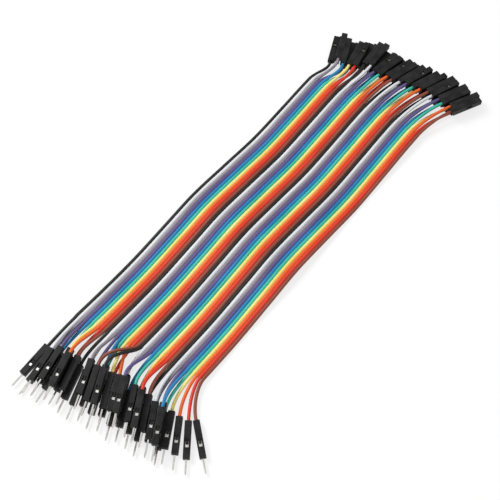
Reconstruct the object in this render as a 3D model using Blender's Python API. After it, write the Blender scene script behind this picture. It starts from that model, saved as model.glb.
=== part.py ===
"""Breadboard jumper lead: forty bonded wires with a pin connector on one end and a socket on the other.

The lead lies on a table. The ribbon runs along Y, from the pins at -Y to the sockets at +Y, with
wire 1 at -X. At both ends it splits into single wires, whose connectors lie in a heap of two or
three tiers. Run it with blender --background --python part.py, or from the text editor.
"""

import math
from collections import namedtuple

import bmesh
import bpy
from mathutils import Matrix, Vector

MM = 0.001

# Wires and ribbon
WIRE_COUNT = 40
WIRE_DIAMETER = 1.3 * MM
BOND_WIDTH = 0.08 * MM  # skin between two neighbouring wires
BOND_HEIGHT = 0.55 * MM  # thickness of the ribbon in the valley between two wires
INSULATION = (
    ("black", (0.024, 0.022, 0.021)),
    ("white", (0.86, 0.86, 0.86)),
    ("grey", (0.36, 0.34, 0.36)),
    ("purple", (0.16, 0.10, 0.29)),
    ("blue", (0.02, 0.20, 0.52)),
    ("green", (0.05, 0.50, 0.26)),
    ("yellow", (0.93, 0.87, 0.22)),
    ("orange", (0.93, 0.18, 0.03)),
    ("red", (0.80, 0.06, 0.04)),
    ("brown", (0.24, 0.13, 0.08)),
)

# Housing: a square tube with a latch window in one wall
HOUSING_LENGTH = 14.0 * MM
HOUSING_WALL = 0.32 * MM
CAVITY_CLEARANCE = 0.3 * MM  # each side of the wire where it enters the housing
EDGE_CHAMFER = 0.15 * MM
WINDOW_LENGTH = 2.9 * MM
WINDOW_WIDTH = 1.3 * MM
WINDOW_FROM_FACE = 4.0 * MM
WINDOW_PAST_WALL = 0.2 * MM  # from the wall's inner face down to the contact
ENTRY_DEPTH = 2.0 * MM
SEAT_GAP = 0.3 * MM  # between the end of a wire and the floor of its entry

# Contacts
PIN_WIDTH = 0.64 * MM
PIN_LENGTH = 5.8 * MM
PIN_TIP_LENGTH = 0.9 * MM
PIN_TIP_WIDTH = 0.3 * MM
SOCKET_CLEARANCE = 0.13 * MM
SOCKET_DEPTH = 6.0 * MM
LEAD_IN = 0.25 * MM  # how much wider the socket's mouth is on each side, and how deep that goes

# The heap of connectors
REST_GAP = 0.3 * MM  # between a connector and the one that it rests on
JOINED = -0.05  # stands for the gap of a connector that shares a solid with its left neighbour, in mm
STRAIGHT_END = 0.8 * MM  # straight wire behind a housing
MOUTH_PULL = 0.9  # how strongly a loose wire keeps its direction at its two ends

# Lengths along the lead
BOND_LENGTH = 142.6 * MM  # along the ribbon's middle, between the two splits
PIN_LOOSE_LENGTH = 16.8 * MM  # from the split to the housings, at the ribbon's middle
SOCKET_LOOSE_LENGTH = 19.0 * MM

# Where the middle of the bond lies, measured from the origin under the middle of the lead
BOND_X = -9.06 * MM
BOND_Y = 2.84 * MM

# The ribbon's middle: across it in mm, along it as a share of BOND_LENGTH, and above the table in mm
RIBBON_SPINE = (
    (0.5, -0.56, 1.5),
    (0.6, -0.45, 0.7),
    (0.4, -0.32, 0.0),
    (0.0, -0.18, 1.0),
    (-0.4, -0.06, 1.8),
    (-0.1, 0.08, 0.8),
    (0.3, 0.21, 0.0),
    (0.0, 0.35, 0.7),
    (-0.3, 0.47, 1.6),
    (-0.3, 0.59, 1.7),
)
RIBBON_STEPS = 8
LOOSE_STEPS = 3  # rings between the split and the straight end of each loose wire

HOUSING_WIDTH = 2 * HOUSING_WALL + 2 * CAVITY_CLEARANCE + WIRE_DIAMETER
WIRE_PITCH = WIRE_DIAMETER + BOND_WIDTH
RIBBON_WIDTH = WIRE_COUNT * WIRE_PITCH
TIER_HEIGHT = HOUSING_WIDTH + REST_GAP

PIN_END = "pin"
SOCKET_END = "socket"
OUTWARD = {PIN_END: -1, SOCKET_END: 1}
LOOSE_LENGTH = {PIN_END: PIN_LOOSE_LENGTH, SOCKET_END: SOCKET_LOOSE_LENGTH}
SPLIT_SLOPE = {PIN_END: 0.23, SOCKET_END: 0.07}
REAR_LINE = {PIN_END: (0.186, 0.0), SOCKET_END: (0.2, -0.0042)}  # slope, and bend for each mm across
CROSSING_RISE = {PIN_END: {18: 0.7, 20: 2.9, 21: 1.9}, SOCKET_END: {}}  # mm, of wires that pass over others

# One tier of a heap, from -X to +X, in mm and degrees. The inset is from the ribbon's -X edge to the
# first connector. Yaws are from the ribbon's line towards +X, gaps from the rear corner of a
# connector to its left neighbour, slips are how far each one is pushed out along its own line, and
# turns are quarter turns about it, 0 with the window up. Of two joined connectors neither has its
# window towards the other.
Tier = namedtuple("Tier", "level inset back wires yaws gaps slips turns")

TIERS = {
    PIN_END: (
        Tier(
            level=0,
            inset=1.2,
            back=0.0,
            wires=(1, 3, 5, 6, 9, 11, 12, 14, 16, 19, 22, 25, 27, 31, 33, 36, 37, 38, 39, 40),
            yaws=(3, 7, 10, 11, 15, 19, 22, 25, 26, 27, 28, 28, 29, 29, 30, 31, 31, 34.5, 38, 51),
            gaps=(0, 0.4, 0.3, 0.3, 0.7, 0.5, 0.5, 0.4, 1.1, 1.1, 1.1, 1.1, 1.1, 1.1, 1.1, 1.1, JOINED, 0.5,
                  0.8, 0.3),
            slips=(0.4, 1.6, 0.0, 1.2, -0.4, 0.9, 1.6, 0.3, 1.4, 0.3, 1.9, 0.6, 1.1, 2.0, 0.5, 1.3, -0.3,
                   0.1, -0.1, -2.0),
            turns=(0, 2, 1, 0, 3, 2, 3, 0, 2, 1, 2, 3, 3, 2, 1, 1, 0, 0, 0, 0),
        ),
        Tier(
            level=1,
            inset=4.1,
            back=2.4,
            wires=(2, 4, 7, 10, 13, 20, 15, 17, 18, 23, 26, 28, 30, 32, 34),
            yaws=(12, 13, 16, 20, 25, 26, 28, 29, 30, 30.5, 31, 31, 31.5, 31.5, 32),
            gaps=(0, 0.3, 1.1, 1.2, 2.6, 0.5, 0.4, 0.3, 0.3, 0.3, 1.2, 0.4, 0.3, 0.3, 0.4),
            slips=(3.6, 1.4, 0.2, 1.4, 0.0, 1.0, -0.6, 0.8, 0.2, -1.2, 0.8, 0.1, 1.5, 2.7, 1.6),
            turns=(0, 0, 3, 1, 0, 2, 3, 2, 0, 1, 0, 2, 3, 0, 2),
        ),
        Tier(
            level=2,
            inset=11.9,
            back=1.0,
            wires=(8, 21, 24, 29, 35),
            yaws=(16, 28, 30, 31, 31),
            gaps=(0, 11.6, 5.6, 4.8, 6.0),
            slips=(1.2, -0.1, -1.0, 0.5, 2.7),
            turns=(0, 0, 0, 0, 0),
        ),
    ),
    SOCKET_END: (
        Tier(
            level=0,
            inset=1.5,
            back=0.0,
            wires=(1, 2, 4, 6, 8, 10, 13, 15, 17, 19, 21, 23, 25, 27, 29, 31, 33, 35, 37, 39),
            yaws=(-25, -25, -19, -19, -10, -10, 2, 2, 10, 10, 15, 15, 17, 17, 19, 19, 21, 21, 25, 25),
            gaps=(0, JOINED, 1.0, JOINED, 0.6, JOINED, 0.8, JOINED, 0.6, JOINED, 0.6, JOINED, 0.6, JOINED,
                  0.6, JOINED, 0.8, JOINED, 0.8, JOINED),
            slips=(0.6, 1.2, -0.6, -0.2, 1.8, 2.2, 0.6, 1.2, 0.2, 0.8, 0.9, 0.2, 0.4, 1.4, 0.8, 2.0, 0.8,
                   1.9, 0.9, 1.9),
            turns=(0, 2, 3, 0, 0, 1, 2, 0, 3, 0, 0, 2, 0, 1, 0, 1, 0, 2, 0, 1),
        ),
        Tier(
            level=1,
            inset=4.6,
            back=0.0,
            wires=(3, 5, 7, 9, 11, 12, 14, 16, 18, 20, 22, 24, 26, 28, 30, 32, 34, 36, 38, 40),
            yaws=(-25, -25, -12, -12, -4, -4, 10, 10, 15, 15, 16, 16, 19, 19, 20, 20, 23, 23, 25, 25),
            gaps=(0, JOINED, 0.5, JOINED, 0.6, JOINED, 0.4, JOINED, 0.4, JOINED, 0.4, JOINED, 0.4, JOINED,
                  0.4, JOINED, 0.4, JOINED, 0.4, JOINED),
            slips=(0.9, -1.2, -1.2, -0.8, 1.8, 2.2, -0.5, -1.2, -0.4, -1.0, -0.5, 0.3, 0.0, 1.0, 1.8, 0.9,
                   1.6, 0.3, 1.4, -0.9),
            turns=(2, 2, 2, 0, 3, 2, 0, 2, 0, 2, 3, 0, 2, 2, 3, 0, 2, 1, 2, 1),
        ),
    ),
}

PARTS = "breadboard_jumper_lead"
PROTOTYPES = "connector_shapes"


def clear_scene():
    """Removes everything the file opened with."""
    for thing in list(bpy.data.objects):
        bpy.data.objects.remove(thing, do_unlink=True)


def new_collection(name):
    collection = bpy.data.collections.new(name)
    bpy.context.scene.collection.children.link(collection)
    return collection


def material(name, colour, roughness, metallic=0.0):
    made = bpy.data.materials.new(name)
    made.use_nodes = True
    shader = made.node_tree.nodes["Principled BSDF"]
    shader.inputs["Base Color"].default_value = (*colour, 1.0)
    shader.inputs["Roughness"].default_value = roughness
    shader.inputs["Metallic"].default_value = metallic
    return made


def add_object(name, mesh, collection):
    made = bpy.data.objects.new(name, mesh)
    collection.objects.link(made)
    return made


def add_box(name, low, high, collection):
    """A box between two corners."""
    low, high = Vector(low), Vector(high)
    place = Matrix.Translation((low + high) / 2) @ Matrix.Diagonal((high - low).to_4d())
    bm = bmesh.new()
    bmesh.ops.create_cube(bm, size=1.0, matrix=place)
    mesh = bpy.data.meshes.new(name)
    bm.to_mesh(mesh)
    bm.free()
    return add_object(name, mesh, collection)


def front_face(bm):
    """The face that looks out along +Y and lies furthest that way."""
    return max(bm.faces, key=lambda face: (face.normal.y > 0.9, face.calc_center_median().y))


def taper_front(target, new_width, travel):
    """Extrudes the front face of a square bar by travel, and makes it new_width wide."""
    bm = bmesh.new()
    bm.from_mesh(target.data)
    bm.normal_update()
    face = front_face(bm)
    front = bmesh.ops.extrude_discrete_faces(bm, faces=[face])["faces"][0]
    for vertex in front.verts:
        vertex.co.x = math.copysign(new_width / 2, vertex.co.x)
        vertex.co.z = math.copysign(new_width / 2, vertex.co.z)
        vertex.co.y += travel
    bm.to_mesh(target.data)
    bm.free()


def cut_or_join(target, tool, operation):
    """Adds a Boolean modifier, and keeps the tool out of sight."""
    boolean = target.modifiers.new(tool.name, "BOOLEAN")
    boolean.operation = operation
    boolean.solver = "EXACT"
    boolean.object = tool
    tool.display_type = "WIRE"
    tool.hide_render = True


def housing(name, collection):
    """The plastic tube, its rear face at the origin, with the wire's entry and the latch window cut."""
    half = HOUSING_WIDTH / 2
    body = add_box(name, (-half, 0, -half), (half, HOUSING_LENGTH, half), collection)
    bm = bmesh.new()
    bm.from_mesh(body.data)
    long_edges = [edge for edge in bm.edges if abs(edge.verts[0].co.y - edge.verts[1].co.y) > half]
    bmesh.ops.bevel(bm, geom=long_edges, offset=EDGE_CHAMFER, segments=1, affect="EDGES")
    bm.to_mesh(body.data)
    bm.free()

    room = WIRE_DIAMETER / 2 + CAVITY_CLEARANCE
    entry = add_box(
        f"{name}_entry", (-room, -ENTRY_DEPTH, -room), (room, ENTRY_DEPTH, room), collection
    )
    window_end = HOUSING_LENGTH - WINDOW_FROM_FACE
    window = add_box(
        f"{name}_window",
        (-WINDOW_WIDTH / 2, window_end - WINDOW_LENGTH, half - HOUSING_WALL - WINDOW_PAST_WALL),
        (WINDOW_WIDTH / 2, window_end, half + HOUSING_WALL),
        collection,
    )
    cut_or_join(body, entry, "DIFFERENCE")
    cut_or_join(body, window, "DIFFERENCE")
    return body


def pin_connector(collection):
    """A housing with its square pin standing out of the mating face."""
    body = housing("pin_connector", collection)
    root = HOUSING_LENGTH - HOUSING_WALL
    shoulder = HOUSING_LENGTH + PIN_LENGTH - PIN_TIP_LENGTH
    half = PIN_WIDTH / 2
    pin = add_box("pin_connector_pin", (-half, root, -half), (half, shoulder, half), collection)
    taper_front(pin, PIN_TIP_WIDTH, PIN_TIP_LENGTH)
    cut_or_join(body, pin, "UNION")
    return body


def socket_connector(collection):
    """A housing with the square socket and its lead-in sunk in the mating face."""
    body = housing("socket_connector", collection)
    half = PIN_WIDTH / 2 + SOCKET_CLEARANCE
    floor = HOUSING_LENGTH - SOCKET_DEPTH
    neck = HOUSING_LENGTH - LEAD_IN
    socket = add_box(
        "socket_connector_socket", (-half, floor, -half), (half, neck, half), collection
    )
    taper_front(socket, 2 * (half + LEAD_IN), LEAD_IN)  # widens to the mouth
    taper_front(socket, 2 * (half + LEAD_IN), LEAD_IN)  # and runs on through the mating face
    cut_or_join(body, socket, "DIFFERENCE")
    return body


def finished_mesh(source, name, plastic):
    """The mesh of an object with its modifiers applied."""
    bpy.context.view_layer.update()
    evaluated = source.evaluated_get(bpy.context.evaluated_depsgraph_get())
    mesh = bpy.data.meshes.new_from_object(evaluated)
    mesh.name = name
    mesh.materials.clear()
    mesh.materials.append(plastic)
    return mesh


def directions(end, yaw):
    """Unit vectors out of the heap along a connector, and across it towards +X."""
    turn = math.radians(yaw)
    sign = OUTWARD[end]
    out = Vector((math.sin(turn), sign * math.cos(turn), 0))
    across = Vector((math.cos(turn), -sign * math.sin(turn), 0))
    return out, across


def rear_line(end, x):
    """How far along the rear faces of a heap's first tier lie, x across from the ribbon's middle."""
    slope, bend = REAR_LINE[end]
    middle = OUTWARD[end] * (BOND_LENGTH / 2 + LOOSE_LENGTH[end])
    return middle + slope * x + bend * x * x / MM


def slide_to_line(end, tier, rear, out):
    """Moves a rear centre along its connector until it lies on the heap's rear line."""
    for _ in range(6):
        wanted = rear_line(end, rear.x) - OUTWARD[end] * tier.back * MM
        rear = rear + out * ((wanted - rear.y) / out.y)
    return rear


def rear_centres(end):
    """Wire number to the centre of its housing's rear face, yaw and quarter turns.

    Along a tier the yaws never fall, so neighbours spread apart from the rear corner where they
    are closest, and that corner is set a gap away from the neighbour's side.
    """
    places = {}
    for tier in TIERS[end]:
        first = tier.inset * MM - RIBBON_WIDTH / 2
        rear = Vector((first, rear_line(end, first), 0))
        yaw_before = None
        for wire, yaw, gap, slip, turns in zip(
            tier.wires, tier.yaws, tier.gaps, tier.slips, tier.turns, strict=True
        ):
            out, across = directions(end, yaw)
            if yaw_before is not None:
                _, before = directions(end, yaw_before)
                rear = rear + before * (HOUSING_WIDTH / 2 + gap * MM) + across * (HOUSING_WIDTH / 2)
            rear = slide_to_line(end, tier, rear, out)
            yaw_before = yaw
            height = HOUSING_WIDTH / 2 + tier.level * TIER_HEIGHT
            centre = rear + out * slip * MM + Vector((BOND_X, BOND_Y, height))
            places[wire] = (centre, yaw, turns)
    return places


def connector_matrix(end, centre, yaw, turns):
    """Places a connector's own frame, whose +Y is out of the heap and +Z the window side."""
    heading = -math.radians(yaw) if end == SOCKET_END else math.pi + math.radians(yaw)
    turned = Matrix.Rotation(heading, 4, "Z") @ Matrix.Rotation(turns * math.pi / 2, 4, "Y")
    return Matrix.Translation(centre) @ turned


def joined_pairs(end):
    """First wire to second wire of each two connectors that share a solid."""
    pairs = {}
    for tier in TIERS[end]:
        for first, second, gap in zip(tier.wires, tier.wires[1:], tier.gaps[1:]):
            if gap == JOINED:
                pairs[first] = second
    return pairs


def add_connectors(end, mesh, places, name, parent, collection, tools):
    """One object for each connector, and one for each pair that lies pressed together."""
    partner = joined_pairs(end)
    seconds = set(partner.values())
    for wire, place in sorted(places.items()):
        if wire in seconds:
            continue
        if wire not in partner:
            single = add_object(f"{name}_connector_{wire:02d}", mesh, collection)
            single.parent = parent
            single.matrix_local = connector_matrix(end, *place)
            continue
        other = partner[wire]
        pair = add_object(f"{name}_connectors_{wire:02d}_{other:02d}", mesh.copy(), collection)
        pair.parent = parent
        pair.matrix_local = connector_matrix(end, *place)
        tool = add_object(f"{name}_neighbour_{other:02d}", mesh, tools)
        tool.parent = parent
        tool.matrix_local = connector_matrix(end, *places[other])
        cut_or_join(pair, tool, "UNION")


def spine_at(y):
    """The ribbon's middle at a place along it: a smooth curve through RIBBON_SPINE, in metres."""
    points = [Vector((x * MM, along * BOND_LENGTH, z * MM)) for x, along, z in RIBBON_SPINE]
    last = len(points) - 1
    i = max(k for k in range(last) if k == 0 or points[k].y <= y)
    start, end = points[i], points[i + 1]

    def slope(k):
        a, b = points[max(k - 1, 0)], points[min(k + 1, last)]
        return (b - a) / (b.y - a.y)

    span = end.y - start.y
    t = (y - start.y) / span
    return (
        start * (1 + 2 * t) * (1 - t) ** 2
        + slope(i) * span * t * (1 - t) ** 2
        + end * t * t * (3 - 2 * t)
        + slope(i + 1) * span * t * t * (t - 1)
    )


def split_along(end, across):
    """How far along the bond ends, for the wire that lies this far across."""
    return OUTWARD[end] * BOND_LENGTH / 2 + SPLIT_SLOPE[end] * across


def bonded_centres(wire):
    """Centres of one wire at the ribbon's stations, from the pin end to the socket end."""
    across = (wire - (WIRE_COUNT + 1) / 2) * WIRE_PITCH
    first, last = split_along(PIN_END, across), split_along(SOCKET_END, across)
    centres = []
    for step in range(RIBBON_STEPS + 1):
        y = first + (last - first) * step / RIBBON_STEPS
        middle = spine_at(y)
        centres.append(
            Vector((middle.x + across + BOND_X, y + BOND_Y, middle.z + WIRE_DIAMETER / 2))
        )
    return centres


def loose_centres(end, wire, start, place):
    """Centres of a loose wire: a smooth curve from the split to its housing, then straight in."""
    rear, yaw, _ = place
    out, _ = directions(end, yaw)
    mouth = rear - out * STRAIGHT_END
    seat = rear + out * (ENTRY_DEPTH - SEAT_GAP)
    pull = (mouth - start).length * MOUTH_PULL
    along = Vector((0, OUTWARD[end], 0))
    rise = Vector((0, 0, CROSSING_RISE[end].get(wire, 0) * MM))
    centres = []
    for step in range(1, LOOSE_STEPS + 1):
        t = step / (LOOSE_STEPS + 1)
        centres.append(
            start * (1 + 2 * t) * (1 - t) ** 2
            + along * pull * t * (1 - t) ** 2
            + mouth * t * t * (3 - 2 * t)
            + out * pull * t * t * (t - 1)
            + rise * (4 * t * (1 - t)) ** 2
        )
    return [*centres, mouth, seat]


def hexagon():
    """A single wire's section: left side, top, right side and bottom."""
    radius = WIRE_DIAMETER / 2
    corners = (210, 150, 90, 30, -30, -90)
    return [
        (radius * math.cos(math.radians(angle)), radius * math.sin(math.radians(angle)))
        for angle in corners
    ]


def loose_rings(bm, end, start, centres):
    """Vertex rings of one loose wire, each square to the wire's path."""
    sign = OUTWARD[end]
    path = [start, *centres]
    rings = []
    for i in range(1, len(path)):
        ahead = path[min(i + 1, len(path) - 1)]
        heading = (ahead - path[i - 1]).normalized()
        across = Vector((sign * heading.y, -sign * heading.x, 0)).normalized()
        up = across.cross(heading) * sign
        rings.append([bm.verts.new(path[i] + across * x + up * z) for x, z in hexagon()])
    return rings


def skin(bm, ring, following, colour, sides):
    """Joins two rings with faces along the named sides."""
    for side in sides:
        after = (side + 1) % len(ring)
        face = bm.faces.new((ring[side], ring[after], following[after], following[side]))
        face.material_index = colour
        face.smooth = True


def ribbon_mesh(places):
    """The whole ribbon as one skin.

    Along the bond each wire is a six-sided lobe that shares the two corners of each valley with its
    neighbour. Past the split every wire has rings of its own and a cap on its end.
    """
    bm = bmesh.new()
    centres = {wire: bonded_centres(wire) for wire in range(1, WIRE_COUNT + 1)}
    half_pitch, half_bond = WIRE_PITCH / 2, BOND_HEIGHT / 2
    valleys = []
    for boundary in range(WIRE_COUNT + 1):
        side = half_pitch if boundary else -half_pitch
        row = []
        for centre in centres[max(boundary, 1)]:
            foot = centre + Vector((side, 0, 0))
            row.append([bm.verts.new(foot + Vector((0, 0, z))) for z in (-half_bond, half_bond)])
        valleys.append(row)

    crest = Vector((0, 0, WIRE_DIAMETER / 2))
    for wire in range(1, WIRE_COUNT + 1):
        colour = (wire - 1) % len(INSULATION)
        left, right = valleys[wire - 1], valleys[wire]
        rings = []
        for step, centre in enumerate(centres[wire]):
            top, bottom = bm.verts.new(centre + crest), bm.verts.new(centre - crest)
            rings.append([*left[step], top, *reversed(right[step]), bottom])
        sides = [1, 2, 4, 5]
        if wire == 1:
            sides.append(0)
        if wire == WIRE_COUNT:
            sides.append(3)
        for ring, following in zip(rings, rings[1:]):
            skin(bm, ring, following, colour, sides)
        for end, ring, start in (
            (PIN_END, rings[0], centres[wire][0]),
            (SOCKET_END, rings[-1], centres[wire][-1]),
        ):
            loose = loose_rings(bm, end, start, loose_centres(end, wire, start, places[end][wire]))
            for near, far in zip([ring, *loose], loose):
                skin(bm, near, far, colour, range(6))
            bm.faces.new(loose[-1]).material_index = colour
    bmesh.ops.recalc_face_normals(bm, faces=bm.faces)
    mesh = bpy.data.meshes.new("ribbon_cable")
    bm.to_mesh(mesh)
    bm.free()
    return mesh


def add_ribbon(places, parent, collection):
    ribbon = add_object("ribbon_cable", ribbon_mesh(places), collection)
    ribbon.parent = parent
    for name, colour in INSULATION:
        ribbon.data.materials.append(material(f"{name}_pvc", colour, 0.45))


def build():
    clear_scene()
    parts, tools = new_collection(PARTS), new_collection(PROTOTYPES)
    lead = bpy.data.objects.new("jumper_lead", None)
    parts.objects.link(lead)

    plastic = material("black_housing_plastic", (0.018, 0.018, 0.019), 0.5)
    shapes = {PIN_END: pin_connector(tools), SOCKET_END: socket_connector(tools)}
    names = {PIN_END: "male", SOCKET_END: "female"}
    places = {end: rear_centres(end) for end in shapes}
    for end, shape in shapes.items():
        mesh = finished_mesh(shape, f"{names[end]}_connector", plastic)
        shape.display_type = "WIRE"
        shape.hide_render = True
        add_connectors(end, mesh, places[end], names[end], lead, parts, tools)
    add_ribbon(places, lead, parts)


build()
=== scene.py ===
"""Looks of a breadboard jumper lead: forty bonded wires, pins at one end, sockets at the other."""

import math
from collections import namedtuple

import bmesh
import bpy
from mathutils import Matrix, Vector


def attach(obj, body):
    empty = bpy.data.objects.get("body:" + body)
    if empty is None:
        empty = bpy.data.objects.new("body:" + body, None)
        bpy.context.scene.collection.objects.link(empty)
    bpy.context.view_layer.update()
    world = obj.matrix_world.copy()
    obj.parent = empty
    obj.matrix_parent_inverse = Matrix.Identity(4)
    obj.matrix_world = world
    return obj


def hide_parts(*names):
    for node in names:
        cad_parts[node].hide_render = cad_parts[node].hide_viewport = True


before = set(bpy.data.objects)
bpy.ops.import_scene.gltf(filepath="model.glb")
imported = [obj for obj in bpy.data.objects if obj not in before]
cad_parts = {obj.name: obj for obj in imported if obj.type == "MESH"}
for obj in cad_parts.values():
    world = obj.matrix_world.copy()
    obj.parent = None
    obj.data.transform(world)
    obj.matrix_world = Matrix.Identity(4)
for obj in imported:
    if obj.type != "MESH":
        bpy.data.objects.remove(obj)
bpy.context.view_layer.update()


# Insulated wires. Forty strands of copper in coloured PVC are extruded side by side and bonded into
# one flat ribbon, then torn apart by hand for a couple of centimetres at each end, so that every
# wire can go its own way to its connector. Ten colours repeat four times.
MM = 0.001
WIRE_COUNT = 40
WIRE_DIAMETER = 1.3 * MM
WIRE_PITCH = 1.38 * MM
BOND_HEIGHT = 0.55 * MM  # the web between two neighbours
BOND_LAP = 0.012 * MM  # how far the bonds of two neighbours reach into each other
RIBBON_WIDTH = WIRE_COUNT * WIRE_PITCH
BOND_LENGTH = 142.6 * MM

# Where the middle of the bond lies, measured from the origin under the middle of the lead
BOND_X = -9.06 * MM
BOND_Y = 2.84 * MM

# The ribbon's middle: across it in mm, along it as a share of BOND_LENGTH, and its height in mm
RIBBON_SPINE = (
    (0.5, -0.56, 1.5),
    (0.6, -0.45, 0.7),
    (0.4, -0.32, 0.0),
    (0.0, -0.18, 1.0),
    (-0.4, -0.06, 1.8),
    (-0.1, 0.08, 0.8),
    (0.3, 0.21, 0.0),
    (0.0, 0.35, 0.7),
    (-0.3, 0.47, 1.6),
    (-0.3, 0.59, 1.7),
)
RING_SPACING = 2.0 * MM  # between the rings of a wire's mesh, along the bond
LOOSE_STEPS = 12  # rings between the bond and the straight end of each loose wire
TORN_LENGTH = 3.0 * MM  # how long the torn edge of the bond fades out along a loose wire
TORN_LEFT = 0.35  # the share of the bond that a loose wire keeps where the tear begins
STRAIGHT_END = 0.8 * MM  # straight wire behind a housing
MOUTH_PULL = 0.9  # how strongly a loose wire keeps its direction at its two ends

# The lay of the connectors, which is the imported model's: each wire's housing, tier by tier
HOUSING_WIDTH = 2.54 * MM  # the pitch of the headers that it mates with
REST_GAP = 0.3 * MM  # between a connector and the one that it rests on
TIER_HEIGHT = HOUSING_WIDTH + REST_GAP
ENTRY_DEPTH = 2.0 * MM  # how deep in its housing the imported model's wire could go
SEAT_GAP = 0.3 * MM  # between the end of a wire and the floor of its entry
PIN_END = "pin"
SOCKET_END = "socket"
OUTWARD = {PIN_END: -1, SOCKET_END: 1}  # the way out of each heap, along Y
LOOSE_LENGTH = {PIN_END: 16.8 * MM, SOCKET_END: 19.0 * MM}  # split to housings, in the middle
SPLIT_SLOPE = {PIN_END: 0.23, SOCKET_END: 0.07}  # how slanting the line is where the bond ends
REAR_LINE = {PIN_END: (0.186, 0.0), SOCKET_END: (0.2, -0.0042)}  # slope, and bend for each mm
LINE_ROUNDS = 6  # how often a housing is moved nearer to the bent line, until it lies on it
CROSSING_RISE = {PIN_END: {18: 0.7, 20: 2.9, 21: 1.9}, SOCKET_END: {}}  # mm, of wires over others
JOINED = -0.05  # the gap in mm of a connector that shares a solid with its left neighbour

# One tier of a heap, from -X to +X, in mm and degrees. The inset is from the ribbon's -X edge to
# the first connector, and back is how far the tier lies behind the rear line. Yaws are from the
# ribbon's line towards +X, gaps from the rear corner of a connector to its left neighbour. Slips
# are how far each one is pushed out along its own line, and turns are quarter turns about it, 0
# with the window up.
Tier = namedtuple("Tier", "level inset back wires yaws gaps slips turns")
TIERS = {
    PIN_END: (
        Tier(
            level=0,
            inset=1.2,
            back=0.0,
            wires=(1, 3, 5, 6, 9, 11, 12, 14, 16, 19, 22, 25, 27, 31, 33, 36, 37, 38, 39, 40),
            yaws=(3, 7, 10, 11, 15, 19, 22, 25, 26, 27, 28, 28, 29, 29, 30, 31, 31, 34.5, 38, 51),
            gaps=(0, 0.4, 0.3, 0.3, 0.7, 0.5, 0.5, 0.4, 1.1, 1.1, 1.1, 1.1, 1.1, 1.1, 1.1, 1.1,
                  JOINED, 0.5, 0.8, 0.3),
            slips=(0.4, 1.6, 0.0, 1.2, -0.4, 0.9, 1.6, 0.3, 1.4, 0.3, 1.9, 0.6, 1.1, 2.0, 0.5, 1.3,
                   -0.3, 0.1, -0.1, -2.0),
            turns=(0, 2, 1, 0, 3, 2, 3, 0, 2, 1, 2, 3, 3, 2, 1, 1, 0, 0, 0, 0),
        ),
        Tier(
            level=1,
            inset=4.1,
            back=2.4,
            wires=(2, 4, 7, 10, 13, 20, 15, 17, 18, 23, 26, 28, 30, 32, 34),
            yaws=(12, 13, 16, 20, 25, 26, 28, 29, 30, 30.5, 31, 31, 31.5, 31.5, 32),
            gaps=(0, 0.3, 1.1, 1.2, 2.6, 0.5, 0.4, 0.3, 0.3, 0.3, 1.2, 0.4, 0.3, 0.3, 0.4),
            slips=(3.6, 1.4, 0.2, 1.4, 0.0, 1.0, -0.6, 0.8, 0.2, -1.2, 0.8, 0.1, 1.5, 2.7, 1.6),
            turns=(0, 0, 3, 1, 0, 2, 3, 2, 0, 1, 0, 2, 3, 0, 2),
        ),
        Tier(
            level=2,
            inset=11.9,
            back=1.0,
            wires=(8, 21, 24, 29, 35),
            yaws=(16, 28, 30, 31, 31),
            gaps=(0, 11.6, 5.6, 4.8, 6.0),
            slips=(1.2, -0.1, -1.0, 0.5, 2.7),
            turns=(0, 0, 0, 0, 0),
        ),
    ),
    SOCKET_END: (
        Tier(
            level=0,
            inset=1.5,
            back=0.0,
            wires=(1, 2, 4, 6, 8, 10, 13, 15, 17, 19, 21, 23, 25, 27, 29, 31, 33, 35, 37, 39),
            yaws=(-25, -25, -19, -19, -10, -10, 2, 2, 10, 10, 15, 15, 17, 17, 19, 19, 21, 21,
                  25, 25),
            gaps=(0, JOINED, 1.0, JOINED, 0.6, JOINED, 0.8, JOINED, 0.6, JOINED, 0.6, JOINED,
                  0.6, JOINED, 0.6, JOINED, 0.8, JOINED, 0.8, JOINED),
            slips=(0.6, 1.2, -0.6, -0.2, 1.8, 2.2, 0.6, 1.2, 0.2, 0.8, 0.9, 0.2, 0.4, 1.4, 0.8, 2.0,
                   0.8, 1.9, 0.9, 1.9),
            turns=(0, 2, 3, 0, 0, 1, 2, 0, 3, 0, 0, 2, 0, 1, 0, 1, 0, 2, 0, 1),
        ),
        Tier(
            level=1,
            inset=4.6,
            back=0.0,
            wires=(3, 5, 7, 9, 11, 12, 14, 16, 18, 20, 22, 24, 26, 28, 30, 32, 34, 36, 38, 40),
            yaws=(-25, -25, -12, -12, -4, -4, 10, 10, 15, 15, 16, 16, 19, 19, 20, 20, 23, 23,
                  25, 25),
            gaps=(0, JOINED, 0.5, JOINED, 0.6, JOINED, 0.4, JOINED, 0.4, JOINED, 0.4, JOINED,
                  0.4, JOINED, 0.4, JOINED, 0.4, JOINED, 0.4, JOINED),
            slips=(0.9, -1.2, -1.2, -0.8, 1.8, 2.2, -0.5, -1.2, -0.4, -1.0, -0.5, 0.3, 0.0, 1.0,
                   1.8, 0.9, 1.6, 0.3, 1.4, -0.9),
            turns=(2, 2, 2, 0, 3, 2, 0, 2, 0, 2, 3, 0, 2, 2, 3, 0, 2, 1, 2, 1),
        ),
    ),
}


def directions(end, yaw):
    """Unit vectors out of the heap along a housing, and across it towards +X."""
    turn = math.radians(yaw)
    sign = OUTWARD[end]
    out = Vector((math.sin(turn), sign * math.cos(turn), 0))
    across = Vector((math.cos(turn), -sign * math.sin(turn), 0))
    return out, across


def rear_line(end, x):
    """How far along the lead a heap's rear faces lie, at a place across it."""
    slope, bend = REAR_LINE[end]
    middle = OUTWARD[end] * (BOND_LENGTH / 2 + LOOSE_LENGTH[end])
    return middle + slope * x + bend * x * x / MM


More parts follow.
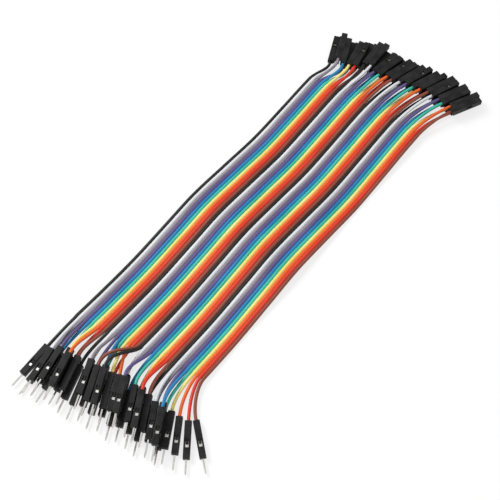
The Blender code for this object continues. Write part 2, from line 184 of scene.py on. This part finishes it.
def rear_centres(end):
    """Wire number to the centre of its housing's rear face, its yaw and its quarter turns."""
    places = {}
    for tier in TIERS[end]:
        first = tier.inset * MM - RIBBON_WIDTH / 2
        rear = Vector((first, rear_line(end, first), 0))
        yaw_before = None
        for wire, yaw, gap, slip, turns in zip(
            tier.wires, tier.yaws, tier.gaps, tier.slips, tier.turns, strict=True
        ):
            out, across = directions(end, yaw)
            if yaw_before is not None:
                before = directions(end, yaw_before)[1]
                rear = rear + before * (HOUSING_WIDTH / 2 + gap * MM) + across * (HOUSING_WIDTH / 2)
            for _ in range(LINE_ROUNDS):
                wanted = rear_line(end, rear.x) - OUTWARD[end] * tier.back * MM
                rear = rear + out * ((wanted - rear.y) / out.y)
            yaw_before = yaw
            height = HOUSING_WIDTH / 2 + tier.level * TIER_HEIGHT
            centre = rear + out * slip * MM + Vector((BOND_X, BOND_Y, height))
            places[wire] = (centre, yaw, turns)
    return places


places = {end: rear_centres(end) for end in (PIN_END, SOCKET_END)}


def spine_at(y):
    """The ribbon's middle at a place along it: a smooth curve through RIBBON_SPINE."""
    points = [Vector((x * MM, along * BOND_LENGTH, z * MM)) for x, along, z in RIBBON_SPINE]
    last = len(points) - 1
    i = max(k for k in range(last) if k == 0 or points[k].y <= y)
    slopes = []
    for k in (i, i + 1):
        a, b = points[max(k - 1, 0)], points[min(k + 1, last)]
        slopes.append((b - a) / (b.y - a.y))
    span = points[i + 1].y - points[i].y
    t = (y - points[i].y) / span
    return (
        points[i] * (1 + 2 * t) * (1 - t) ** 2
        + slopes[0] * span * t * (1 - t) ** 2
        + points[i + 1] * t * t * (3 - 2 * t)
        + slopes[1] * span * t * t * (t - 1)
    )


def bonded_route(wire):
    """Points of one wire along the bond, from the pin end to the socket end."""
    across = (wire - (WIRE_COUNT + 1) / 2) * WIRE_PITCH
    first = -BOND_LENGTH / 2 + SPLIT_SLOPE[PIN_END] * across
    last = BOND_LENGTH / 2 + SPLIT_SLOPE[SOCKET_END] * across
    steps = round((last - first) / RING_SPACING)
    points = []
    for step in range(steps + 1):
        y = first + (last - first) * step / steps
        middle = spine_at(y)
        height = middle.z + WIRE_DIAMETER / 2
        points.append(Vector((middle.x + across + BOND_X, y + BOND_Y, height)))
    return points


def loose_route(end, wire, start):
    """Points of one wire from the end of the bond to its seat inside the housing."""
    rear, yaw, _ = places[end][wire]
    out = directions(end, yaw)[0]
    mouth = rear - out * STRAIGHT_END
    pull = (mouth - start).length * MOUTH_PULL
    along = Vector((0, OUTWARD[end], 0))
    rise = Vector((0, 0, CROSSING_RISE[end].get(wire, 0) * MM))
    points = []
    for step in range(1, LOOSE_STEPS):
        t = step / LOOSE_STEPS
        points.append(
            start * (1 + 2 * t) * (1 - t) ** 2
            + along * pull * t * (1 - t) ** 2
            + mouth * t * t * (3 - 2 * t)
            + out * pull * t * t * (t - 1)
            + rise * (4 * t * (1 - t)) ** 2
        )
    return [*points, mouth, rear, rear + out * (ENTRY_DEPTH - SEAT_GAP)]


# The corners of a wire's section, in degrees from straight out to its side
SECTION_ANGLES = (
    90, 65, 45, 28, 9, -9, -28, -45, -65, -90, -115, -135, -152, -171, 171, 152, 135, 115,
)
BOND_REACH = 0.98  # the share of the radius past which a corner carries the bond


def wire_section(bonded):
    """Corners of a wire's section, round when loose, with a low bond on both sides when bonded."""
    radius = WIRE_DIAMETER / 2
    corners = []
    for angle in SECTION_ANGLES:
        x = radius * math.cos(math.radians(angle))
        z = radius * math.sin(math.radians(angle))
        if abs(x) > BOND_REACH * radius:
            x += math.copysign(WIRE_PITCH / 2 + BOND_LAP - abs(x), x) * bonded
            z += math.copysign(BOND_HEIGHT / 2 - abs(z), z) * bonded
        corners.append((x, z))
    return corners


def node(material, kind, values=(), links=(), **settings):
    """Adds a shader node, sets its properties and inputs, and links other nodes' outputs to it."""
    made = material.node_tree.nodes.new(kind)
    for name, value in settings.items():
        setattr(made, name, value)
    for name, value in dict(values).items():
        made.inputs[name].default_value = value
    for name, output in dict(links).items():
        material.node_tree.links.new(output, made.inputs[name])
    return made


def linear(hex_colour):
    """An sRGB hex colour as the linear values that a shader takes."""
    parts = [int(hex_colour[i : i + 2], 16) / 255 for i in (1, 3, 5)]
    return [*(c / 12.92 if c <= 0.04045 else ((c + 0.055) / 1.055) ** 2.4 for c in parts), 1.0]


NOISE_LOW, NOISE_HIGH = 0.3, 0.7  # most of a noise's values lie between these
GRAIN_DETAIL = 2
GRAIN_HEIGHT = 0.02 * MM


def new_finish(name, values):
    """A new material, with values on its shader's own inputs."""
    made = bpy.data.materials.new(name)
    made.use_nodes = True
    for socket, value in values.items():
        made.node_tree.nodes["Principled BSDF"].inputs[socket].default_value = value
    return made


def clouded(material, vector, clouds, detail, colours, roughness):
    """Clouds, as many to the metre as given, with a colour and a roughness at each end."""
    noise = node(
        material, "ShaderNodeTexNoise", {"Scale": clouds, "Detail": detail}, {"Vector": vector}
    )
    tone = node(material, "ShaderNodeValToRGB", links={"Fac": noise.outputs["Fac"]})
    ends = tone.color_ramp.elements
    for end, position, colour in zip(ends, (NOISE_LOW, NOISE_HIGH), colours):
        end.position = position
        end.color = linear(colour)
    smoothest, roughest = roughness
    rough = node(
        material,
        "ShaderNodeMapRange",
        {
            "From Min": NOISE_LOW,
            "From Max": NOISE_HIGH,
            "To Min": smoothest,
            "To Max": roughest,
        },
        {"Value": noise.outputs["Fac"]},
    )
    shader = material.node_tree.nodes["Principled BSDF"]
    material.node_tree.links.new(tone.outputs["Color"], shader.inputs["Base Color"])
    material.node_tree.links.new(rough.outputs["Result"], shader.inputs["Roughness"])


def grained(material, vector, grains, strength):
    """A fine grain all over the surface, as many grains to the metre as given."""
    noise = node(
        material,
        "ShaderNodeTexNoise",
        {"Scale": grains, "Detail": GRAIN_DETAIL},
        {"Vector": vector},
    )
    bump = node(
        material,
        "ShaderNodeBump",
        {"Strength": strength, "Distance": GRAIN_HEIGHT},
        {"Height": noise.outputs["Fac"]},
    )
    shader = material.node_tree.nodes["Principled BSDF"]
    material.node_tree.links.new(bump.outputs["Normal"], shader.inputs["Normal"])


PVC_CLOUDS = 0.4 / MM  # one for each 2.5 mm round the wire
PVC_CLOUD_DETAIL = 3
PVC_GRAINS = 3.3 / MM  # the grain is some hundredths of a millimetre, drawn at 0.3 mm to show
PVC_STRETCH = (1, 0.15, 1)  # the extruder draws both out along the wire
PVC_ROUGHNESS = (0.34, 0.46)
PVC_GRAIN_STRENGTH = 0.25


def extruded_pvc(colour_name, low, high):
    """Soft PVC off the extruder: satin, a little cloudy, with a faint grain along the wire."""
    made = new_finish(f"{colour_name}_extruded_pvc", {"IOR": 1.53, "Specular IOR Level": 0.22})
    place = node(made, "ShaderNodeTexCoord").outputs["Object"]
    along = node(made, "ShaderNodeMapping", {"Scale": PVC_STRETCH}, {"Vector": place})
    drawn_out = along.outputs["Vector"]
    clouded(made, drawn_out, PVC_CLOUDS, PVC_CLOUD_DETAIL, (low, high), PVC_ROUGHNESS)
    grained(made, drawn_out, PVC_GRAINS, PVC_GRAIN_STRENGTH)
    return made


# From -X to +X the colours count down in the code for wires: 0, then 9 and so on to 1
insulation = [
    extruded_pvc("black", "#151413", "#1F1D1C"),
    extruded_pvc("white", "#D8DBDF", "#E6E8EB"),
    extruded_pvc("grey", "#847C85", "#958D97"),
    extruded_pvc("purple", "#584C7E", "#685C90"),
    extruded_pvc("blue", "#1E76AB", "#2B87BC"),
    extruded_pvc("green", "#33AD98", "#49C1AD"),
    extruded_pvc("yellow", "#EBDA71", "#F4E791"),
    extruded_pvc("orange", "#E65F27", "#EF7133"),
    extruded_pvc("red", "#D33223", "#E14231"),
    extruded_pvc("brown", "#824232", "#925240"),
]


def wire_mesh(name, loose_in, bonded, loose_out):
    """One wire as a tube along its route, with its share of the bond on both sides."""
    route = [*reversed(loose_in), *bonded, *loose_out]
    first, last = len(loose_in), len(loose_in) + len(bonded) - 1
    bm = bmesh.new()
    rings = []
    for i, point in enumerate(route):
        ahead, behind = route[min(i + 1, len(route) - 1)], route[max(i - 1, 0)]
        heading = (ahead - behind).normalized()
        across = Vector((heading.y, -heading.x, 0)).normalized()
        up = across.cross(heading)
        share = 1.0
        if not first <= i <= last:
            torn = min((point - route[first]).length, (point - route[last]).length)
            share = TORN_LEFT * max(0.0, 1 - torn / TORN_LENGTH)
        rings.append([bm.verts.new(point + across * x + up * z) for x, z in wire_section(share)])
    for ring, following in zip(rings, rings[1:]):
        for k in range(len(ring)):
            after = (k + 1) % len(ring)
            face = bm.faces.new((ring[k], ring[after], following[after], following[k]))
            face.smooth = True
    bm.faces.new(rings[0])
    bm.faces.new(rings[-1])
    bmesh.ops.recalc_face_normals(bm, faces=bm.faces)
    mesh = bpy.data.meshes.new(name)
    bm.to_mesh(mesh)
    bm.free()
    return mesh, route


for wire in range(1, WIRE_COUNT + 1):
    bonded = bonded_route(wire)
    loose_in = loose_route(PIN_END, wire, bonded[0])
    loose_out = loose_route(SOCKET_END, wire, bonded[-1])
    mesh, route = wire_mesh(f"wire_{wire:02d}", loose_in, bonded, loose_out)
    insulated = bpy.data.objects.new(mesh.name, mesh)
    bpy.context.scene.collection.objects.link(insulated)
    mesh.materials.append(insulation[(wire - 1) % len(insulation)])
    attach(insulated, "root")
    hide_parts("ribbon_cable")


# Crimped contacts. Each is stamped from tin-plated phosphor bronze and rolled round the end of its
# wire, then pushed into a housing, where a plastic latch drops in behind its square box. At one end
# of the lead the box holds a pin of drawn square wire, and at the other it is a sprung socket.
METAL = 0.16 * MM
METAL_EDGE = 0.04 * MM

# Places along a contact are measured from its housing's rear face, and the others from its axis
GRIP_RADIUS = 0.86 * MM
GRIP_LENGTH = 1.6 * MM
GRIP_MIDDLE = 1.4 * MM
GRIP_CORNERS = 12
NECK_REAR = 2.1 * MM
NECK_HALF_WIDTH = 0.45 * MM
NECK_BOTTOM = -0.8 * MM
NECK_FLARE = 1.5  # how much wider the neck is where it meets the box
BOX_REAR = 8.75 * MM
BOX_FRONT = 13.0 * MM
BOX_HALF_WIDTH = 0.78 * MM
BOX_BOTTOM = -0.85 * MM
BOX_TOP = 0.75 * MM
PIN_ROOT = BOX_FRONT - 0.4 * MM  # where the pin leaves its box, which is the shorter one
PIN_WIDTH = 0.64 * MM
PIN_TAPER = 18.9 * MM  # where the pin begins to narrow
PIN_TIP = 19.8 * MM
PIN_TIP_WIDTH = 0.3 * MM
SOCKET_MOUTH = 0.5 * MM
SOCKET_THROAT = 1.2 * MM
SOCKET_SPRING = 1.6 * MM
THROAT_NARROWING = (0.45, 1, 0.9)  # where the spring's two leaves pinch the pin
SPRING_WIDENING = (1.8, 1, 1)
PLATING_CLOUDS = 0.5 / MM  # one for each 2 mm
PLATING_DETAIL = 2


def plated_metal(name, low, high, smoothest, roughest):
    """Plated strip or wire: a grey mirror, soft where it is rough, and a little cloudy."""
    made = new_finish(name, {"Metallic": 1.0})
    place = node(made, "ShaderNodeTexCoord").outputs["Object"]
    clouded(made, place, PLATING_CLOUDS, PLATING_DETAIL, (low, high), (smoothest, roughest))
    return made


# Rolled strip with fresh tin gives a soft, bright glint in a window. The sockets' tin is rougher,
# and darker in colour as painted shade, so that it hardly shines out of theirs. The pins' drawn
# wire is smooth, with narrow, bright highlights.
bright_tin = plated_metal("bright_tin_on_bronze", "#A5A39E", "#BDBBB6", 0.26, 0.36)
dull_tin_with_painted_shade = plated_metal("dull_tin_on_bronze_with_painted_shade", "#5C5953", "#716D66", 0.34, 0.46)
drawn_wire = plated_metal("nickel_on_drawn_brass", "#BDBBB7", "#CFCDC9", 0.1, 0.16)


def start_box(name, low, high):
    """A box between two corners, given in metres, alone and selected, in edit mode by face."""
    bpy.ops.object.select_all(action="DESELECT")
    low, high = Vector(low), Vector(high)
    bpy.ops.mesh.primitive_cube_add(size=1, location=(low + high) / 2, scale=high - low)
    bpy.ops.object.transform_apply(location=True, rotation=True, scale=True)
    bpy.context.object.name = name
    bpy.context.object.data.name = name
    bpy.ops.object.mode_set(mode="EDIT")
    bpy.ops.mesh.select_mode(type="FACE")
    return bpy.context.object


FACING = 0.9  # a face looks along an axis when its normal reaches this far along it


def faces_front(middle, normal):
    """A test for choose_faces: whether a face looks out of the heap, to the mating end."""
    return normal.y > FACING


def faces_rear(middle, normal):
    """A test for choose_faces: whether a face looks back, to the wire."""
    return normal.y < -FACING


def choose_faces(test):
    """In edit mode, selects the faces whose middle and normal pass the test, and no others."""
    bpy.ops.mesh.select_all(action="DESELECT")
    mesh = bpy.context.object.data
    for face in bmesh.from_edit_mesh(mesh).faces:
        face.select_set(test(face.calc_center_median(), face.normal))
    bmesh.update_edit_mesh(mesh)


def extrude(offset, scale=(1, 1, 1)):
    """Extrudes the chosen faces by an offset and scales the new ones about the piece's own axis."""
    bpy.ops.mesh.extrude_region_move(TRANSFORM_OT_translate={"value": offset})
    bpy.ops.transform.resize(value=scale, center_override=(0, 0, 0))


SHARP_ANGLE = math.radians(35)  # the least turn from face to face that makes an edge sharp


def finish_edges(piece, width):
    """A small even bevel on every sharp edge, applied."""
    bpy.ops.object.mode_set(mode="OBJECT")
    bevel = piece.modifiers.new("edges", "BEVEL")
    bevel.width = width
    bevel.segments = 1
    bevel.limit_method = "ANGLE"
    bevel.angle_limit = SHARP_ANGLE
    bpy.ops.object.modifier_apply(modifier="edges")


def crimped_tail():
    """The wire grip and the narrow neck behind the box, the same in both contacts."""
    bpy.ops.object.select_all(action="DESELECT")
    bpy.ops.mesh.primitive_cylinder_add(
        vertices=GRIP_CORNERS,
        radius=GRIP_RADIUS,
        depth=GRIP_LENGTH,
        end_fill_type="NOTHING",
        location=(0, GRIP_MIDDLE, 0),
        rotation=(math.radians(90), 0, 0),
    )
    grip = bpy.context.object
    bpy.ops.object.transform_apply(location=True, rotation=True, scale=True)
    wall = grip.modifiers.new("wall", "SOLIDIFY")
    wall.thickness = METAL
    bpy.ops.object.modifier_apply(modifier="wall")
    start_box(
        "contact_neck",
        (-NECK_HALF_WIDTH, NECK_REAR, NECK_BOTTOM),
        (NECK_HALF_WIDTH, BOX_REAR + METAL, 0),
    )
    choose_faces(faces_front)
    bpy.ops.transform.resize(value=(NECK_FLARE, 1, 1))
    bpy.ops.object.mode_set(mode="OBJECT")
    grip.select_set(True)
    bpy.ops.object.join()


def contact(name, finish):
    """Joins the tail to the box that is being made, and gives both their finish."""
    box = bpy.context.object
    finish_edges(box, METAL_EDGE)
    crimped_tail()
    box.select_set(True)
    bpy.context.view_layer.objects.active = box
    bpy.ops.object.join()
    box.name = name
    box.data.materials.append(finish)
    return box


start_box(
    "pin_contact",
    (-BOX_HALF_WIDTH, BOX_REAR, BOX_BOTTOM),
    (BOX_HALF_WIDTH, PIN_ROOT, BOX_TOP),
)
choose_faces(faces_front)
shelf = BOX_HALF_WIDTH - PIN_WIDTH / 2
bpy.ops.mesh.inset(thickness=shelf)
near_axis = 0.1 * MM
choose_faces(
    lambda middle, normal: normal.y > FACING and abs(middle.x) + abs(middle.z) < near_axis
)
bpy.ops.transform.resize(value=(1, 1, PIN_WIDTH / (BOX_TOP - BOX_BOTTOM - 2 * shelf)))
bpy.ops.transform.translate(value=(0, 0, -(BOX_TOP + BOX_BOTTOM) / 2))
extrude((0, PIN_TAPER - PIN_ROOT, 0))
taper = PIN_TIP_WIDTH / PIN_WIDTH
extrude((0, PIN_TIP - PIN_TAPER, 0), (taper, 1, taper))
pin_contact = contact("pin_contact", bright_tin)
pin_contact.data.materials.append(drawn_wire)
for face in pin_contact.data.polygons:
    face.material_index = int(face.center.y > BOX_FRONT)

start_box(
    "socket_contact",
    (-BOX_HALF_WIDTH, BOX_REAR, BOX_BOTTOM),
    (BOX_HALF_WIDTH, BOX_FRONT, BOX_TOP),
)
choose_faces(faces_front)
bpy.ops.mesh.inset(thickness=METAL)
extrude((0, -SOCKET_MOUTH, 0))
extrude((0, -SOCKET_THROAT, 0), THROAT_NARROWING)
extrude((0, -SOCKET_SPRING, 0), SPRING_WIDENING)
# the sockets' contacts take the tin whose darker colour is painted shade
socket_contact = contact("socket_contact", dull_tin_with_painted_shade)


# Connector housings. Eighty of the same square tube, moulded in black PBT with a fine satin grain,
# open behind for the crimped wire and in front for the pin. One wall has the latch window, where a
# springy tongue holds the contact and a little bright metal shows.
HOUSING_LENGTH = 14.0 * MM
HOUSING_WALL = 0.32 * MM
FRONT_WALL = 0.8 * MM
MOUTH_HALF = 0.45 * MM
LEAD_IN = 0.25 * MM
EDGE_CHAMFER = 0.22 * MM
CHAMFER_FACETS = 2
MOULDED_EDGE = 0.05 * MM
WINDOW_REAR = 7.1 * MM
WINDOW_FRONT = 10.0 * MM
WINDOW_HALF = 0.65 * MM
TONGUE_HALF = 0.42 * MM
TONGUE_ROOT_REAR = WINDOW_REAR - 0.3 * MM  # the root reaches into the window's rear wall
TONGUE_ROOT_FRONT = WINDOW_REAR + 0.1 * MM
TONGUE_TIP = 8.9 * MM
TONGUE_TOP = 0.08 * MM  # below the housing's outside
TONGUE_BOTTOM = 0.5 * MM
TONGUE_DROP = 0.28 * MM  # how far it leans in towards the contact
TONGUE_TAPER = (0.9, 1, 1)
PBT_CLOUDS = 0.25 / MM  # one for each 4 mm
PBT_CLOUD_DETAIL = 4
# the clouds' greyer places are partly dust and handling, and partly painted sheen
PBT_COLOURS = ("#0A0A0B", "#262627")
PBT_ROUGHNESS = (0.36, 0.52)
PBT_GRAINS = 5 / MM  # the mould's grain is about 0.03 mm, drawn at 0.2 mm so that it shows
PBT_GRAIN_STRENGTH = 0.3
SHEEN_AND_MARKS = "handling_marks_and_painted_sheen"  # the attribute that moves a housing's clouds, so that no two are alike
SHEEN_AND_MARKS_APART = 0.1


def moulded_pbt():
    """Black PBT out of a spark-eroded mould: dull satin, greyed in places by dust and handling and
    by painted sheen.
    """
    made = new_finish("black_moulded_pbt", {"IOR": 1.55, "Specular IOR Level": 0.13})
    place = node(made, "ShaderNodeTexCoord").outputs["Object"]
    apart = node(made, "ShaderNodeAttribute", attribute_name=SHEEN_AND_MARKS)
    moved = node(
        made,
        "ShaderNodeVectorMath",
        links={0: place, 1: apart.outputs["Vector"]},
        operation="ADD",
    )
    own = moved.outputs["Vector"]
    clouded(made, own, PBT_CLOUDS, PBT_CLOUD_DETAIL, PBT_COLOURS, PBT_ROUGHNESS)
    grained(made, place, PBT_GRAINS, PBT_GRAIN_STRENGTH)
    return made


half = HOUSING_WIDTH / 2
housing = start_box("housing", (-half, 0, -half), (half, HOUSING_LENGTH, half))
choose_faces(faces_rear)
bpy.ops.mesh.inset(thickness=HOUSING_WALL)
extrude((0, HOUSING_LENGTH - FRONT_WALL, 0))
choose_faces(faces_front)
bpy.ops.mesh.inset(thickness=half - MOUTH_HALF - LEAD_IN)
funnel = MOUTH_HALF / (MOUTH_HALF + LEAD_IN)
extrude((0, -LEAD_IN, 0), (funnel, 1, funnel))
extrude((0, LEAD_IN - FRONT_WALL, 0))

# The cavity's floor and the hole from the front have met, and are opened into each other
floor = HOUSING_LENGTH - FRONT_WALL
tolerance = 0.01 * MM
choose_faces(
    lambda middle, normal: abs(middle.y - floor) < tolerance and abs(normal.y) > FACING
)
bpy.ops.mesh.bridge_edge_loops()

# The mould rounds the four long edges
bpy.ops.mesh.select_mode(type="EDGE")
bpy.ops.mesh.select_all(action="DESELECT")
for edge in bmesh.from_edit_mesh(housing.data).edges:
    a, b = (vertex.co for vertex in edge.verts)
    is_long = abs(a.y - b.y) > HOUSING_LENGTH - tolerance
    is_outside = abs(a.x) > half - tolerance
    edge.select_set(is_long and is_outside)
bmesh.update_edit_mesh(housing.data)
bpy.ops.mesh.bevel(offset=EDGE_CHAMFER, segments=CHAMFER_FACETS, affect="EDGES")
bpy.ops.object.mode_set(mode="OBJECT")

window = start_box(
    "window",
    (-WINDOW_HALF, WINDOW_REAR, half - 2 * HOUSING_WALL),
    (WINDOW_HALF, WINDOW_FRONT, 2 * half),
)
bpy.ops.object.mode_set(mode="OBJECT")
bpy.context.view_layer.objects.active = housing
cut = housing.modifiers.new("window", "BOOLEAN")
cut.operation = "DIFFERENCE"
cut.solver = "EXACT"
cut.object = window
bpy.ops.object.modifier_apply(modifier="window")
bpy.data.objects.remove(window)
finish_edges(housing, MOULDED_EDGE)

tongue = start_box(
    "tongue",
    (-TONGUE_HALF, TONGUE_ROOT_REAR, half - TONGUE_BOTTOM),
    (TONGUE_HALF, TONGUE_ROOT_FRONT, half - TONGUE_TOP),
)
choose_faces(faces_front)
extrude((0, TONGUE_TIP - TONGUE_ROOT_FRONT, -TONGUE_DROP), TONGUE_TAPER)
finish_edges(tongue, MOULDED_EDGE)
housing.select_set(True)
bpy.context.view_layer.objects.active = housing
bpy.ops.object.join()
housing.data.materials.append(moulded_pbt())


def placed_copy(model, name, matrix):
    """A copy with its own mesh, which holds its place, so that the object stays at the origin."""
    made = bpy.data.objects.new(name, model.data.copy())
    made.data.name = name
    made.data.transform(matrix)
    bpy.context.scene.collection.objects.link(made)
    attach(made, "root")
    return made


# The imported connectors' names hold their wires' numbers
nodes_by_wire = {PIN_END: {}, SOCKET_END: {}}
for cad_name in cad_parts:
    if cad_name != "ribbon_cable":
        end = PIN_END if cad_name.startswith("male") else SOCKET_END
        for number in cad_name.split("_")[2:]:
            nodes_by_wire[end][int(number)] = cad_name

for end, contact_model in ((PIN_END, pin_contact), (SOCKET_END, socket_contact)):
    for wire, (rear, yaw, turns) in sorted(places[end].items()):
        heading = -math.radians(yaw) if end == SOCKET_END else math.pi + math.radians(yaw)
        matrix = (
            Matrix.Translation(rear)
            @ Matrix.Rotation(heading, 4, "Z")
            @ Matrix.Rotation(turns * math.pi / 2, 4, "Y")
        )
        shell = placed_copy(housing, f"{end}_housing_{wire:02d}", matrix)
        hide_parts(nodes_by_wire[end][wire])
        moved_by = shell.data.attributes.new(SHEEN_AND_MARKS, "FLOAT", "POINT").data
        moved_by.foreach_set("value", [wire * SHEEN_AND_MARKS_APART] * len(moved_by))
        placed_copy(contact_model, f"{end}_contact_{wire:02d}", matrix)
for model in (housing, pin_contact, socket_contact):
    bpy.data.objects.remove(model)


# The table, a sheet of white paper under a white studio. What the camera sees of both, straight or
# in a shiny part, is brighter than the light that they give, so they stay white at a plain level.
def seen_directly(owner):
    """1 for a ray from the camera, off a shiny part or through a clear one, and 0 for the rest."""
    rays = node(owner, "ShaderNodeLightPath").outputs
    mirrored = node(
        owner,
        "ShaderNodeMath",
        links={0: rays["Is Camera Ray"], 1: rays["Is Glossy Ray"]},
        operation="MAXIMUM",
    )
    through = node(
        owner,
        "ShaderNodeMath",
        links={0: mirrored.outputs["Value"], 1: rays["Is Transmission Ray"]},
        operation="MAXIMUM",
    )
    return through.outputs["Value"]


TABLE_SIZE = 6
PAPER_GLOW = 1.05
SHADE_REACH = 0.15  # how far from the lead's middle the paper keeps its own shade
WHITE_FROM = 0.5  # how far from there it is plain white
OWN_SHARE = 0.3  # how much of what is seen near the lead is the paper's own shade
WORLD_LIGHT = 0.42  # what the studio gives off, where it is seen at a strength of 1

bpy.ops.object.select_all(action="DESELECT")
bpy.ops.mesh.primitive_plane_add(size=TABLE_SIZE)
table = bpy.context.object
table.name = "table"
white = new_finish(
    "white_paper",
    {"Base Color": linear("#F4F4F4"), "Roughness": 0.9, "Specular IOR Level": 0.2},
)
paper = white.node_tree.nodes["Principled BSDF"]

# Matt paper. Its own shade, with the lead's shadow on it, shows near the lead and fades out around
from_middle = node(
    white,
    "ShaderNodeVectorMath",
    links={0: node(white, "ShaderNodeTexCoord").outputs["Object"]},
    operation="LENGTH",
)
fade = node(
    white,
    "ShaderNodeMapRange",
    {
        "From Min": SHADE_REACH,
        "From Max": WHITE_FROM,
        "To Min": 1 - OWN_SHARE,
        "To Max": 1.0,
    },
    {"Value": from_middle.outputs["Value"]},
)
seen = node(
    white,
    "ShaderNodeMath",
    links={0: seen_directly(white), 1: fade.outputs["Result"]},
    operation="MULTIPLY",
)
glow = node(white, "ShaderNodeEmission", {"Color": (1, 1, 1, 1), "Strength": PAPER_GLOW})
blend = node(
    white,
    "ShaderNodeMixShader",
    links={0: seen.outputs["Value"], 1: paper.outputs["BSDF"], 2: glow.outputs["Emission"]},
)
surface = white.node_tree.nodes["Material Output"].inputs["Surface"]
white.node_tree.links.new(blend.outputs["Shader"], surface)
table.data.materials.append(white)

world = bpy.data.worlds.new("studio")
bpy.context.scene.world = world
world.use_nodes = True
sky = world.node_tree.nodes["Background"]
sky.inputs["Color"].default_value = (1, 1, 1, 1)
level = node(
    world,
    "ShaderNodeMath",
    {1: 1 - WORLD_LIGHT, 2: WORLD_LIGHT},
    {0: seen_directly(world)},
    operation="MULTIPLY_ADD",
)
world.node_tree.links.new(level.outputs["Value"], sky.inputs["Strength"])


def soft_light(name, watts, size, place):
    """A square studio light that faces the middle of the lead."""
    light = bpy.data.lights.new(name, "AREA")
    light.energy = watts
    light.size = size
    holder = bpy.data.objects.new(name, light)
    bpy.context.scene.collection.objects.link(holder)
    holder.location = place
    holder.rotation_euler = (-Vector(place)).to_track_quat("-Z", "Y").to_euler()


soft_light("key_light", watts=6.0, size=0.4, place=(-0.62, -0.05, 0.62))
soft_light("fill_light", watts=1.6, size=0.6, place=(0.6, -0.2, 0.6))


# Camera: high over the pin end and a little to the right, as in the photograph. Its lens and its
# place were fitted to the ribbon's two straight edges and to the lengths of housings near and far.
ELEVATION = math.radians(62)
HEADING = math.radians(39.504)
DISTANCE = 379.4 * MM
LOOK_AT = Vector((-3.1 * MM, -9.81 * MM, 0))
LENS = 68.4  # like the sensor's width, in a camera's own millimetres
SENSOR_WIDTH = 36
NEAREST_SEEN = 0.01
camera = bpy.data.objects.new("camera", bpy.data.cameras.new("camera"))
bpy.context.scene.collection.objects.link(camera)
backwards = Vector(
    (
        math.sin(HEADING) * math.cos(ELEVATION),
        -math.cos(HEADING) * math.cos(ELEVATION),
        math.sin(ELEVATION),
    )
)
camera.location = LOOK_AT + backwards * DISTANCE
camera.rotation_euler = (-backwards).to_track_quat("-Z", "Y").to_euler()
camera.data.lens = LENS
camera.data.sensor_width = SENSOR_WIDTH
camera.data.clip_start = NEAREST_SEEN
bpy.context.scene.camera = camera
bpy.context.scene.view_settings.view_transform = "Standard"

bpy.context.view_layer.update()
